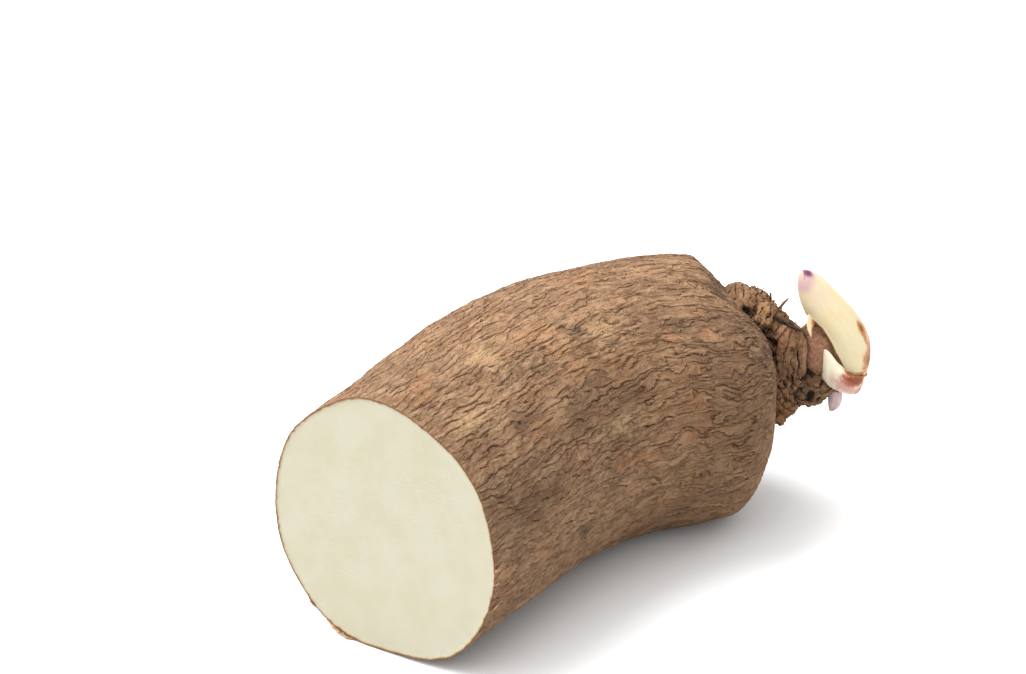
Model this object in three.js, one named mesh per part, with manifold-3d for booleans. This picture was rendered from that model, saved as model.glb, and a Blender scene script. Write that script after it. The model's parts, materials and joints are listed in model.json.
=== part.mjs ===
// A cut yam (the crown half of a white yam), lying on its side, with one young shoot.
// Units are millimetres, +Z is up, and +X runs from the cut face towards the crown.
// The origin is the middle of the footprint box, on the surface that the yam lies on.
//
// Pieces: the tuber with its flat cut face, the woody crown (the old stem base), the shoot
// in its sheath, the outer scale leaf round the foot of the shoot, a young root bud, and
// the wiry old root stubs that stand on the crown.

import * as THREE from "three";
import { mergeVertices } from "three/addons/utils/BufferGeometryUtils.js";
import Module from "manifold-3d";

const wasm = await Module();
wasm.setup();
const { Manifold, Mesh: SolidMesh } = wasm;

const { lerp, degToRad } = THREE.MathUtils;
const V = (x, y, z) => new THREE.Vector3(x, y, z);
const UP = V(0, 0, 1);
const direction = (degrees) => V(1, 0, 0).applyAxisAngle(UP, degToRad(degrees));

// ---------- driving dimensions ----------
const CLEARANCE = 0.4; // the gap kept between neighbouring pieces
const CUT_RADIUS = 52.3;
const SHOULDER_RADIUS = 55.5;
const RESTING_SINK = 1.1; // how far the resting flat cuts into the round underside

// The tuber's axis in plan, from the middle of the cut face to the shoulder:
// X, Y and, in the third place, the heading of the section there in degrees.
const AXIS_IN_PLAN = [
  V(0, 0, 12.6),
  V(28.7, 7.3, 15.6),
  V(57.1, 15.5, 16.2),
  V(85.7, 22.9, 11.6),
  V(115.1, 26.2, 0.3),
  V(144.3, 22.3, -16.1),
  V(170.9, 9.6, -35.1),
];
const CROWN_SEAT = V(203.2, -8.3, 64.3); // the middle of the blunt end, where the crown sits
const CROWN_HEADING = -39; // the way the crown points, in degrees
const BODY_LENGTH = 178; // from the cut face to the shoulder, along the bent axis
const DOME_LENGTH = 38; // from the shoulder to the crown's seat

// The end of the tuber is a superellipse: blunt, but sloping away on its upper side, with a
// shallow dent in its brow, and it dips in round the crown's seat.
const DOME_POWER = { blunt: 2.6, sloping: 1.03, upperSide: 1.35 };
const BROW_ROUNDING = 0.12; // how softly the body turns into the dome, as a share of its length
const BROW_DENT = { depth: 2.7, beyond: 5.6, length: 9.2, angle: 1.15, width: 1.4 };
const SEAT_DIP = { depth: 7, radius: 29.5 };

// Slow swellings of the section: amplitude in mm, waves round, waves along, phase.
const SWELLS = [
  [0.8, 2, 0, 3.1],
  [0.7, 3, 0.3, 1.6],
  [0.5, 4, -0.4, 3.0],
  [0.6, 2, 1.1, 0.4],
  [0.5, 5, 0.9, 5.2],
  [0.4, 7, -1.3, 2.2],
];

const TUBER_SEGMENTS = 52;
const BODY_RINGS = 20;
const DOME_RINGS = 13;

// ---------- helpers ----------
const smoothCurve = (points) =>
  new THREE.CatmullRomCurve3(points, false, "catmullrom", 0.5);

// Moves every vertex of a geometry, and joins the vertices that then coincide.
function reshape(geometry, place) {
  const position = geometry.getAttribute("position");
  const vertex = V(0, 0, 0);
  for (let i = 0; i < position.count; i++) {
    vertex.fromBufferAttribute(position, i);
    const placed = place(vertex);
    position.setXYZ(i, placed.x, placed.y, placed.z);
  }
  geometry.deleteAttribute("normal");
  geometry.deleteAttribute("uv");
  return mergeVertices(geometry, 1e-3);
}

function toSolid(geometry) {
  return new Manifold(
    new SolidMesh({
      numProp: 3,
      vertProperties: new Float32Array(geometry.getAttribute("position").array),
      triVerts: new Uint32Array(geometry.index.array),
    }),
  );
}

function toGeometry(solid) {
  const { numProp, vertProperties, triVerts } = solid.getMesh();
  const count = vertProperties.length / numProp;
  const positions = new Float32Array(count * 3);
  for (let i = 0; i < count; i++) {
    positions.set(vertProperties.subarray(i * numProp, i * numProp + 3), i * 3);
  }
  const geometry = new THREE.BufferGeometry();
  geometry.setAttribute("position", new THREE.BufferAttribute(positions, 3));
  geometry.setIndex(new THREE.BufferAttribute(triVerts, 1));
  geometry.computeVertexNormals();
  return geometry;
}

// The largest of a solid's separate bodies: a cut may leave slivers behind.
function mainBody(solid) {
  return solid.decompose().reduce((a, b) => (a.volume() > b.volume() ? a : b));
}

// A place on a lathe's surface: how far along its axis, how far out, and which way round.
const onLathe = (vertex) => ({
  station: vertex.y,
  radius: Math.hypot(vertex.x, vertex.z),
  angle: Math.atan2(vertex.x, vertex.z),
});

// A lathe's rings laid along a curve: the profile holds [radius, station from 0 to 1] pairs.
// The angle starts at the side direction, and flatness squeezes the section that way.
// flare(angle, station) moves a place outwards, and rise(angle, station) on along the curve.
function alongCurve({ points, profile, segments, side, ...options }) {
  const { flatness = 1, grow = 0, flare = () => 0, rise = () => 0 } = options;
  const curve = smoothCurve(points);
  const lathe = new THREE.LatheGeometry(
    profile.map(([radius, station]) => new THREE.Vector2(radius, station)),
    segments,
  );
  const geometry = reshape(lathe, (vertex) => {
    const { station, radius, angle } = onLathe(vertex);
    const centre = curve.getPoint(station);
    const tangent = curve.getTangent(station);
    const across = side.clone().addScaledVector(tangent, -side.dot(tangent)).normalize();
    const other = tangent.clone().cross(across).normalize();
    if (station === 0) {
      centre.addScaledVector(tangent, -grow);
    }
    if (station === 1) {
      centre.addScaledVector(tangent, grow);
    }
    if (radius === 0) {
      return centre;
    }
    const added = grow + flare(angle, station);
    return centre
      .addScaledVector(tangent, rise(angle, station))
      .addScaledVector(across, (radius * flatness + added) * Math.cos(angle))
      .addScaledVector(other, (radius + added) * Math.sin(angle));
  });
  return toSolid(geometry);
}

// A knobbly ellipsoid: bumps is the height of its waves as a share of the radius.
function lobe({ centre, radii, turn, bumps = 0.05, seed, grow, detail }) {
  const sphere = new THREE.SphereGeometry(1, detail, Math.round(detail * 0.7));
  const geometry = reshape(sphere, (d) => {
    const waves =
      Math.sin(5 * d.x + 3 * d.y + seed) +
      Math.sin(6 * d.y - 4 * d.z + 2.1 * seed) +
      Math.sin(7 * d.z + 5 * d.x + 1.3 * seed);
    const [along, across, up] = radii.map((radius) => radius * (1 + bumps * waves) + grow);
    return V(d.x * along, d.y * across, d.z * up)
      .applyAxisAngle(UP, degToRad(turn))
      .add(centre);
  });
  return toSolid(geometry);
}

// ---------- tuber ----------
const tuberAxis = smoothCurve(AXIS_IN_PLAN);
const shoulder = tuberAxis.getPoint(1);
const shoulderHeading = shoulder.z;
shoulder.z = SHOULDER_RADIUS - RESTING_SINK;

// The dome's middle line leaves the shoulder along its heading and ends at the crown's seat.
const halfWay = shoulder.distanceTo(CROWN_SEAT) / 2;
const domeAxis = new THREE.QuadraticBezierCurve3(
  shoulder,
  shoulder.clone().addScaledVector(direction(shoulderHeading), halfWay),
  CROWN_SEAT,
);

// Stations 0 to 1 lie along the body, and 1 to 2 over the domed end.
function tuberSection(station) {
  if (station > 1) {
    const beyond = station - 1;
    const heading = lerp(shoulderHeading, CROWN_HEADING, beyond);
    return { centre: domeAxis.getPoint(beyond), heading, radius: SHOULDER_RADIUS, beyond };
  }
  const centre = tuberAxis.getPoint(station);
  const heading = centre.z;
  const radius = lerp(CUT_RADIUS, SHOULDER_RADIUS, station);
  centre.z = radius - RESTING_SINK;
  return { centre, heading, radius, beyond: 0 };
}

function swell(station, angle) {
  let sum = 0;
  for (const [size, round, along, phase] of SWELLS) {
    sum += size * Math.cos(round * angle + 2 * Math.PI * along * station + phase);
  }
  return sum;
}

function browDent(station, angle) {
  const past = (station - 1) * (station < 1 ? BODY_LENGTH : DOME_LENGTH);
  const along = (past - BROW_DENT.beyond) / BROW_DENT.length;
  const round = (2 * Math.sin((angle - BROW_DENT.angle) / 2)) / BROW_DENT.width;
  return BROW_DENT.depth * Math.exp(-along * along - round * round);
}

// How much of the full reach is left at a share of the way over the domed end.
function domeShare(beyond, angle) {
  const soften = (x) => Math.hypot(x, BROW_ROUNDING) - BROW_ROUNDING;
  const softened = Math.min(soften(beyond) / soften(1), 1);
  const facing = Math.max(Math.cos(angle - DOME_POWER.upperSide), 0);
  const power = lerp(DOME_POWER.blunt, DOME_POWER.sloping, facing);
  return Math.pow(1 - Math.pow(softened, power), 1 / power);
}

function tuberPoint({ station, radius: share, angle }) {
  const { centre, heading, radius, beyond } = tuberSection(station);
  const full = radius + swell(station, angle) - browDent(station, angle);
  const reach = full * domeShare(beyond, angle) * share;
  const point = centre
    .addScaledVector(direction(heading + 90), reach * Math.cos(angle))
    .addScaledVector(UP, reach * Math.sin(angle));
  if (beyond > 0) {
    const nearSeat = Math.exp(-Math.pow(reach / SEAT_DIP.radius, 2));
    point.addScaledVector(direction(CROWN_HEADING), -SEAT_DIP.depth * nearSeat);
  }
  point.z = Math.max(point.z, 0); // the flat that the tuber rests on
  return point;
}

function tuberSolid() {
  const profile = [new THREE.Vector2(0, 0)];
  for (let i = 0; i <= BODY_RINGS; i++) {
    profile.push(new THREE.Vector2(1, i / BODY_RINGS));
  }
  for (let i = 1; i < DOME_RINGS; i++) {
    profile.push(new THREE.Vector2(1, 1 + Math.sin((Math.PI / 2) * (i / DOME_RINGS))));
  }
  profile.push(new THREE.Vector2(0, 2));
  const lathe = new THREE.LatheGeometry(profile, TUBER_SEGMENTS);
  return toSolid(reshape(lathe, (vertex) => tuberPoint(onLathe(vertex))));
}

// ---------- crown ----------
// A place by the crown: out along its heading, across it (left of outwards), and height.
const ACROSS = direction(CROWN_HEADING + 90);
const byCrown = (out, across, height) =>
  V(CROWN_SEAT.x, CROWN_SEAT.y, height)
    .addScaledVector(direction(CROWN_HEADING), out)
    .addScaledVector(ACROSS, across);

// Each lobe of the crown: its place, its radii (out, across, up), and the seed of its bumps.
const CROWN_LOBES = [
  { at: [-4, 1, 61], radii: [12, 21, 21], seed: 1, detail: 26 }, // the plate on the tuber
  { at: [10, 1, 51.2], radii: [14, 12.5, 7.8], seed: 2.4, detail: 20 }, // the lip below the shoot
  { at: [-2, -8, 48.6], radii: [8.8, 11, 8.2], seed: 3.9, detail: 16 }, // the foot by the tuber
  { at: [3.5, 0, 65], radii: [9, 13, 13.5], seed: 0.3, detail: 18 }, // the neck
  { at: [16.5, 2.2, 66.5], radii: [10.5, 8, 12.5], seed: 4.1, bumps: 0.01, detail: 22 }, // the dome
  { at: [0, -11, 77.5], radii: [5, 5.5, 4.5], seed: 5.7, detail: 14 }, // a knob by the neck
  { at: [-3, -2, 80.5], radii: [6.5, 13, 5.5], seed: 3.3, detail: 16 }, // the ridge, foot
  { at: [-9.5, -2, 86.5], radii: [7.5, 14, 6], seed: 0.7, detail: 16 }, // the ridge, middle
  { at: [-16.5, -2, 90.5], radii: [7, 14, 5.5], seed: 1.9, detail: 16 }, // the ridge, top
];

function crownSolid(grow) {
  const lobes = CROWN_LOBES.map(({ at, ...shape }) =>
    lobe({ ...shape, centre: byCrown(...at), turn: CROWN_HEADING, grow }),
  );
  return lobes.reduce((a, b) => a.add(b));
}

// ---------- shoot ----------
// The shoot is a curved horn in its sheath, and a tongue hangs where the sheath has split.
const HORN = {
  points: [
    byCrown(27.4, 0, 53.4),
    byCrown(28.9, 0, 58.4),
    byCrown(29.3, 0, 64.5),
    byCrown(28, 0, 71),
    byCrown(24.8, 0, 77.5),
    byCrown(20.4, 0, 83.5),
    byCrown(16, 0, 89.5),
    byCrown(12.2, 0, 95.8),
    byCrown(8.6, 0, 102.5),
  ],
  profile: [
    [0, 0],
    [6.4, 0],
    [7.9, 0.125],
    [8.6, 0.25],
    [8.9, 0.375],
    [8.8, 0.5],
    [8.5, 0.625],
    [7.7, 0.75],
    [6.8, 0.82],
    [5.5, 0.89],
    [3.9, 0.945],
    [2, 0.985],
    [0, 1],
  ],
  segments: 24,
  side: ACROSS,
  flatness: 0.9,
};
const TONGUE = {
  points: [byCrown(13, -3, 88), byCrown(12.2, -5, 82), byCrown(12.2, -7, 76)],
  profile: [
    [0, 0],
    [2.6, 0],
    [2.2, 0.5],
    [0.8, 0.95],
    [0, 1],
  ],
  segments: 12,
  side: ACROSS,
  flatness: 0.5,
};

function shootSolid(grow) {
  return alongCurve({ ...HORN, grow }).add(alongCurve({ ...TONGUE, grow }));
}

// ---------- scale leaf ----------
// The leaf cups the foot of the shoot, and its pointed tip stands up on one side.
const LEAF_TIP = { rise: 11.5, flare: 4, angle: 2.2, width: 0.66 };

function nearTip(angle, station) {
  const away = (2 * Math.sin((angle - LEAF_TIP.angle) / 2)) / LEAF_TIP.width;
  return station * Math.exp(-away * away);
}

const LEAF_CUP = {
  points: [byCrown(25, 0, 51.4), byCrown(26.6, 0, 55), byCrown(27.8, 0, 58.8)],
  profile: [
    [0, 0],
    [7.9, 0],
    [9.2, 0.2],
    [9.8, 0.55],
    [9.8, 0.8],
    [9.5, 1],
    [0, 1],
  ],
  segments: 32,
  side: ACROSS,
  rise: (angle, station) => LEAF_TIP.rise * nearTip(angle, station),
  flare: (angle, station) => LEAF_TIP.flare * nearTip(angle, station),
};

// ---------- root bud and old root stubs ----------
const ROOT_BUD = {
  points: [byCrown(24, -1, 49.5), byCrown(24, -1.5, 44.5), byCrown(22.9, -2, 39.8)],
  profile: [
    [0, 0],
    [2.6, 0],
    [2.9, 0.4],
    [2.1, 0.8],
    [0.8, 0.97],
    [0, 1],
  ],
  segments: 14,
  side: ACROSS,
};

// Each stub: its thickness at the root, and its line from inside the crown to its broken tip.
const ROOT_STUBS = [
  { thick: 0.9, points: [byCrown(-3, -1, 82), byCrown(0.7, -4, 89.5), byCrown(2.6, -6, 93)] },
  { thick: 1.4, points: [byCrown(-5, -8, 85), byCrown(2.7, -12, 83.8), byCrown(7, -13, 81)] },
  { thick: 0.8, points: [byCrown(-8, -3, 86), byCrown(-4.5, -6, 94.5), byCrown(-5.5, -9, 97)] },
];

function rootSolid({ thick, points }) {
  const profile = [
    [0, 0],
    [thick, 0],
    [0.8 * thick, 0.5],
    [0.45 * thick, 0.95],
    [0, 1],
  ];
  return alongCurve({ points, profile, segments: 8, side: UP });
}

// ---------- build ----------
const skin = (color, roughness) => new THREE.MeshStandardMaterial({ color, roughness });
const bark = skin(0x8a6a4c, 0.95);
const crownBark = skin(0x5e4632, 1);
const sheath = skin(0xf2e6bd, 0.45);
const leafSkin = skin(0xe8d6bb, 0.5);
const budSkin = skin(0xd3bcc0, 0.5);
const rootBark = skin(0x4a3627, 0.95);

const yam = new THREE.Group();
yam.name = "cut_yam";

function addPiece(name, solid, material) {
  const mesh = new THREE.Mesh(toGeometry(mainBody(solid)), material);
  mesh.name = name;
  yam.add(mesh);
}

// Each piece gives way to the ones that it grows from.
const crownRoom = crownSolid(CLEARANCE);
const shootRoom = shootSolid(CLEARANCE);
const leafRoom = alongCurve({ ...LEAF_CUP, grow: CLEARANCE });

addPiece("tuber", tuberSolid().subtract(crownRoom), bark);
addPiece("crown", crownSolid(0), crownBark);
addPiece("shoot", shootSolid(0).subtract(crownRoom), sheath);
addPiece("scale_leaf", alongCurve(LEAF_CUP).subtract(crownRoom).subtract(shootRoom), leafSkin);
addPiece("root_bud", alongCurve(ROOT_BUD).subtract(crownRoom).subtract(leafRoom), budSkin);
ROOT_STUBS.forEach((stub, i) => {
  addPiece(`root_stub_${i + 1}`, rootSolid(stub).subtract(crownRoom), rootBark);
});

// The origin goes to the middle of the footprint, on the resting surface.
const box = new THREE.Box3().setFromObject(yam);
const middle = box.getCenter(V(0, 0, 0));
yam.position.set(-middle.x, -middle.y, -box.min.z);
yam.updateMatrixWorld(true);

export default yam;
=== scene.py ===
import json
from functools import partial
from math import cos, pi, radians, sin

import bpy
import numpy as np
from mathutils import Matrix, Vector


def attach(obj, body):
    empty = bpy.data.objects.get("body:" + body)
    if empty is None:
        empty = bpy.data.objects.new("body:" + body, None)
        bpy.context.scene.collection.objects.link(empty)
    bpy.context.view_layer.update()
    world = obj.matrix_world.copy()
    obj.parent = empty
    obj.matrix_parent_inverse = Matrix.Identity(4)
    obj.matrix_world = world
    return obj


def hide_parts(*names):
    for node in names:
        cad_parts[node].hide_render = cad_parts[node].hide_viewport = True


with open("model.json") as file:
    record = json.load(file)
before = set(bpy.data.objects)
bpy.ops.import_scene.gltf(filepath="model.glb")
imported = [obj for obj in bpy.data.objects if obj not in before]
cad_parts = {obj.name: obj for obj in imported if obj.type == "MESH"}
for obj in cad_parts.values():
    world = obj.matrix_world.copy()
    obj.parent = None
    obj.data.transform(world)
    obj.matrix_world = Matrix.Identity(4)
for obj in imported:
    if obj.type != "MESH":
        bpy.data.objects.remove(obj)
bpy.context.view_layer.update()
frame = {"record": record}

scene = bpy.context.scene
MM = 0.001

# ---------- the part's own dimensions, in millimetres (see the part's source) ----------
CUT_RADIUS, SHOULDER_RADIUS, RESTING_SINK = 52.3, 55.5, 1.1
AXIS_IN_PLAN = np.array([
    (0, 0, 12.6), (28.7, 7.3, 15.6), (57.1, 15.5, 16.2), (85.7, 22.9, 11.6),
    (115.1, 26.2, 0.3), (144.3, 22.3, -16.1), (170.9, 9.6, -35.1),
])
CROWN_SEAT = np.array((203.2, -8.3, 64.3))
CROWN_HEADING = -39.0  # degrees in plan
BODY_LENGTH, DOME_LENGTH = 178.0, 38.0
DOME_BLUNT, DOME_SLOPING, DOME_UPPER_SIDE = 2.6, 1.03, 1.35
BROW_ROUNDING = 0.12
MEAN_RADIUS = 54.0
SWELLS = (
    (0.8, 2, 0, 3.1), (0.7, 3, 0.3, 1.6), (0.5, 4, -0.4, 3.0),
    (0.6, 2, 1.1, 0.4), (0.5, 5, 0.9, 5.2), (0.4, 7, -1.3, 2.2),
)

# The source's frame is moved so that the part's box is centred: the cut face's mount says how far.
cut_mount = next(m for m in frame["record"]["mounts"] if m["name"] == "cut_face")
SHIFT = np.array((cut_mount["pos_m"][0] / MM, cut_mount["pos_m"][1] / MM, 0.0))


# ---------- curves and surfaces ----------
def direction(degrees):
    return np.array((cos(radians(degrees)), sin(radians(degrees)), 0.0))


OUT, ACROSS, UP = direction(CROWN_HEADING), direction(CROWN_HEADING + 90), np.array((0.0, 0.0, 1.0))


def catmull(points, t):
    """The source's smooth curve through its points, at t from 0 to 1."""
    points = np.asarray(points, float)
    t = np.atleast_1d(np.asarray(t, float))
    at = (len(points) - 1) * t
    i = np.minimum(np.floor(at).astype(int), len(points) - 2)
    w = (at - i)[:, None]
    padded = np.vstack((2 * points[0] - points[1], points, 2 * points[-1] - points[-2]))
    x0, x1, x2, x3 = padded[i], padded[i + 1], padded[i + 2], padded[i + 3]
    t0, t1 = (x2 - x0) / 2, (x3 - x1) / 2
    square, cube = -3 * x1 + 3 * x2 - 2 * t0 - t1, 2 * x1 - 2 * x2 + t0 + t1
    return x1 + t0 * w + square * w**2 + cube * w**3


def by_crown(out, across, height):
    """A place by the crown: out along its heading, across it, and height."""
    place = CROWN_SEAT * (1, 1, 0) + (0, 0, height)
    return place + OUT * out + ACROSS * across + SHIFT


def crown_line(places):
    return [by_crown(*place) for place in places]


def soften(share):
    return np.hypot(share, BROW_ROUNDING) - BROW_ROUNDING


def tuber_surface(stations, angles):
    """Points of the tuber's skin: a grid of stations (0 to 1 body, 1 to 2 domed end) by angles."""
    shoulder = catmull(AXIS_IN_PLAN, 1.0)[0]
    turn = shoulder[2]
    shoulder = np.array((shoulder[0], shoulder[1], SHOULDER_RADIUS - RESTING_SINK))
    middle = shoulder + direction(turn) * np.linalg.norm(shoulder - CROWN_SEAT) / 2
    body, beyond = np.minimum(stations, 1), np.maximum(stations - 1, 0)
    centre = catmull(AXIS_IN_PLAN, body)
    heading = centre[:, 2] + (CROWN_HEADING - turn) * beyond
    radius = CUT_RADIUS + (SHOULDER_RADIUS - CUT_RADIUS) * body
    centre[:, 2] = radius - RESTING_SINK
    b = beyond[:, None]
    bezier = (1 - b) ** 2 * shoulder + 2 * b * (1 - b) * middle + b**2 * CROWN_SEAT
    centre = np.where(b > 0, bezier, centre)
    station, angle = np.meshgrid(stations, angles, indexing="ij")
    b = np.maximum(station - 1, 0)
    swell = sum(size * np.cos(r * angle + 2 * pi * a * station + p) for size, r, a, p in SWELLS)
    past = (station - 1) * np.where(station < 1, BODY_LENGTH, DOME_LENGTH)
    dent = 2.7 * np.exp(-(((past - 5.6) / 9.2) ** 2) - (2 * np.sin((angle - 1.15) / 2) / 1.4) ** 2)
    upper = np.maximum(np.cos(angle - DOME_UPPER_SIDE), 0)
    power = DOME_BLUNT + (DOME_SLOPING - DOME_BLUNT) * upper
    drop = np.minimum(soften(b) / soften(1.0), 1)
    reach = (radius[:, None] + swell - dent) * (1 - drop**power) ** (1 / power)
    side = np.stack([direction(h + 90) for h in heading])[:, None, :]
    outward = side * np.cos(angle)[..., None] + UP * np.sin(angle)[..., None]
    point = centre[:, None, :] + outward * reach[..., None]
    near_seat = 7.0 * np.exp(-((reach / 29.5) ** 2)) * (b > 0)
    point = point - OUT * near_seat[..., None] + SHIFT
    point[..., 2] = np.maximum(point[..., 2], 0)
    return point, outward, reach


# ---------- helpers ----------
def limit(values):
    """The values, kept between 0 and 1."""
    return np.clip(values, 0, 1)


def unit(vectors):
    return vectors / np.linalg.norm(vectors, axis=-1, keepdims=True)


def hump(values, middle, width):
    """A soft hump, 1 at its middle."""
    return np.exp(-(((values - middle) / width) ** 2))


def turn_between(angle, middle):
    """How far an angle is from the middle one, from -pi to pi."""
    return (angle - middle + pi) % (2 * pi) - pi


def ring_quads(index, step=1):
    """The quads between the rows of a grid whose rows close into rings."""
    turned = np.roll(index, -1, axis=1)
    corners = (index[:-1], *(turned[:-1], turned[1:], index[1:])[::step])
    return np.stack(corners, axis=2).reshape(-1, 4)


def fan(ring, pole, step=1):
    """The triangles from a ring to a pole; step -1 turns them the other way."""
    return [(*pair[::step], pole) for pair in zip(ring, np.roll(ring, -1))]


# ---------- meshes ----------
def make_mesh(name, points, faces, materials=(), slots=None):
    """A smooth mesh object from points in millimetres."""
    mesh = bpy.data.meshes.new(name)
    mesh.from_pydata((np.asarray(points) * MM).tolist(), [], [tuple(map(int, f)) for f in faces])
    for material in materials:
        mesh.materials.append(material)
    if slots is not None:
        mesh.polygons.foreach_set("material_index", np.asarray(slots, np.int32))
    mesh.polygons.foreach_set("use_smooth", np.ones(len(mesh.polygons), bool))
    mesh.update()
    obj = bpy.data.objects.new(name, mesh)
    scene.collection.objects.link(obj)
    return obj


def move_points(obj, points):
    obj.data.vertices.foreach_set("co", (points * MM).astype(np.float32).ravel())
    obj.data.update()


def set_attribute(obj, name, values, kind="FLOAT"):
    mesh = obj.data
    attribute = mesh.attributes.get(name) or mesh.attributes.new(name, kind, "POINT")
    key = "vector" if kind == "FLOAT_VECTOR" else "value"
    attribute.data.foreach_set(key, np.asarray(values, np.float32).ravel())


# ---------- node graphs: the same builder serves shaders and geometry nodes ----------
class Graph:
    def __init__(self, tree):
        self.tree = tree

    def plug(self, socket, value):
        if isinstance(value, bpy.types.NodeSocket):
            self.tree.links.new(value, socket)
        elif value is not None:
            socket.default_value = value

    def node(self, kind, settings=(), **inputs):
        node = self.tree.nodes.new(kind)
        for key, value in dict(settings).items():
            setattr(node, key, value)
        for key, value in inputs.items():
            self.plug(node.inputs[key.replace("_", " ")], value)
        return node

    def math(self, operation, a, b=0.0, c=0.0):
        node = self.node("ShaderNodeMath", {"operation": operation})
        for socket, value in zip(node.inputs, (a, b, c)):
            self.plug(socket, value)
        return node.outputs[0]

    def fold(self, operation, terms):
        total = terms[0]
        for term in terms[1:]:
            total = self.math(operation, total, term)
        return total

    def add(self, *terms):
        return self.fold("ADD", terms)

    def mul(self, *terms):
        return self.fold("MULTIPLY", terms)

    def weighed(self, *pairs):
        """The sum of values times their weights."""
        return self.add(*(self.mul(value, weight) for value, weight in pairs))

    def sub(self, a, b):
        return self.math("SUBTRACT", a, b)

    def div(self, a, b):
        return self.math("DIVIDE", a, b)

    def linear(self, value, slope, start):
        return self.math("MULTIPLY_ADD", value, slope, start)

    def length(self, parts):
        return self.math("SQRT", self.add(*(self.mul(part, part) for part in parts)))

    def part(self, vector, axis):
        return self.node("ShaderNodeSeparateXYZ", Vector=vector).outputs[axis]

    def vector(self, operation, a, b=(0, 0, 0), output="Vector"):
        node = self.node("ShaderNodeVectorMath", {"operation": operation})
        self.plug(node.inputs[0], a)
        self.plug(node.inputs[1], b)
        return node.outputs[output]

    def stretch(self, place, along, across, offset=0.0):
        """Coordinates in which a grain cell is one unit: along and across are its size in mm."""
        scaled = self.vector("MULTIPLY", place, (1 / along, 1 / across, 1 / across))
        return self.vector("ADD", scaled, (offset, offset, offset)) if offset else scaled

    def noise(self, place, detail=2.0, roughness=0.5, output="Fac"):
        settings = {"Scale": 1.0, "Detail": detail, "Roughness": roughness}
        return self.node("ShaderNodeTexNoise", Vector=place, **settings).outputs[output]

    def grain(self, place, along, across, offset, detail=2.0, roughness=0.5):
        """A noise whose cells have this size in mm."""
        return self.noise(self.stretch(place, along, across, offset), detail, roughness)

    def waves(self, *grain):
        """The same, but it swings about zero."""
        return self.sub(self.grain(*grain), 0.5)

    def cells(self, place):
        return self.node("ShaderNodeTexVoronoi", Vector=place, Scale=1.0)

    def step(self, value, low, high, to_low=0.0, to_high=1.0):
        """A smooth step from to_low to to_high as value goes from low to high."""
        node = self.node("ShaderNodeMapRange", {"interpolation_type": "SMOOTHSTEP"})
        for socket, number in zip(node.inputs, (value, low, high, to_low, to_high)):
            self.plug(socket, number)
        return node.outputs[0]

    def fall(self, value, low, high, start=1.0):
        """A smooth step from start down to 0."""
        return self.step(value, low, high, start, 0.0)

    def mix(self, share, a, b):
        node = self.node("ShaderNodeMix", {"data_type": "RGBA"})
        for number, value in ((0, share), (6, a), (7, b)):
            self.plug(node.inputs[number], value)
        return node.outputs[2]


LIT = 2.6  # how much brighter than its own colour the upper side is in this light
CUT_LIT, PLANT_LIT, LEAF_LIT = 2.45, 1.85, 1.3  # and the same for the cut face, shoot and leaf


def colour(red, green, blue, lit=LIT):
    """The colour of a surface that looks like this sRGB (0 to 255) where the light is full."""
    return tuple(((c / 255 + 0.055) / 1.055) ** 2.4 / lit for c in (red, green, blue)) + (1.0,)


def tinted(g, base, tints, lit=LIT):
    """The base with each tint laid over it by its mask times its share."""
    for mask, share, tint in tints:
        base = g.mix(g.mul(mask, share), base, colour(*tint, lit))
    return base


# ---------- bark ----------
REACH = 0.25  # how far apart in mm a noise is sampled to find its slope


def shaken(g, at, size, along, across, seed):
    """Coordinates swayed by up to half the size, in waves of these lengths along and across."""
    swing = g.noise(g.stretch(at, along, across, seed), 1.0, output="Color")
    node = g.node("ShaderNodeVectorMath", {"operation": "SCALE"}, Scale=size)
    g.plug(node.inputs[0], g.vector("SUBTRACT", swing, (0.5, 0.5, 0.5)))
    return g.vector("ADD", at, node.outputs["Vector"])


def stretched(g, at, along, across, seed, roughness):
    """A stretched noise at a place, and how much it changes over the reach along each axis."""
    def field(shift):
        moved = g.vector("ADD", at, shift) if any(shift) else at
        return g.grain(moved, along, across, seed, 2.0, roughness)

    here = field((0, 0, 0))
    shifts = [tuple(REACH * (axis == i) for i in range(3)) for axis in range(3)]
    return here, [g.sub(field(shift), here) for shift in shifts]


def level_lines(g, at, along, across, levels, seed):
    """How far in mm a place is from the nearest of the wavy lines of a stretched noise, and how
    clear the line is there: it fades where it would widen."""
    here, slopes = stretched(g, at, along, across, seed, 0.45)
    steep = g.mul(g.length(slopes), levels / REACH)
    level = g.math("PINGPONG", g.mul(here, levels), 0.5)
    return g.div(level, g.math("MAXIMUM", steep, 0.03)), g.step(steep, 0.12, 0.3)


def line(g, distance, width):
    return g.fall(g.div(distance, width), 0.0, 1.0)


def shingles(g, at, count, waves, along, across, seed):
    """Wavy lines that run along the yam, this many round it. Gives the distance to the nearest in
    mm, how far down its plate a place is (0 at the upper line, 1 at the lower), the plate's number,
    and how clear the line is there."""
    here, slopes = stretched(g, at, along, across, seed, 0.5)
    slopes = [g.mul(slope, waves, 1 / REACH) for slope in slopes]
    y, z = g.part(at, "Y"), g.part(at, "Z")
    turn = g.math("ARCTAN2", g.mul(y, -1.0), z)
    squeeze = g.div(count / (2 * pi), g.add(g.mul(y, y), g.mul(z, z)))
    slopes[1] = g.sub(slopes[1], g.mul(z, squeeze))
    slopes[2] = g.add(slopes[2], g.mul(y, squeeze))
    steep = g.length(slopes)
    level = g.add(g.mul(turn, count / (2 * pi)), g.mul(here, waves))
    distance = g.div(g.math("PINGPONG", level, 0.5), g.math("MAXIMUM", steep, 0.05))
    crossing = g.div(g.math("ABSOLUTE", slopes[0]), steep)
    clear = g.mul(g.step(steep, 0.08, 0.2), g.step(crossing, 0.75, 0.98, 1.0, 0.25))
    return distance, g.math("FRACT", level), g.math("FLOOR", level), clear


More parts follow.
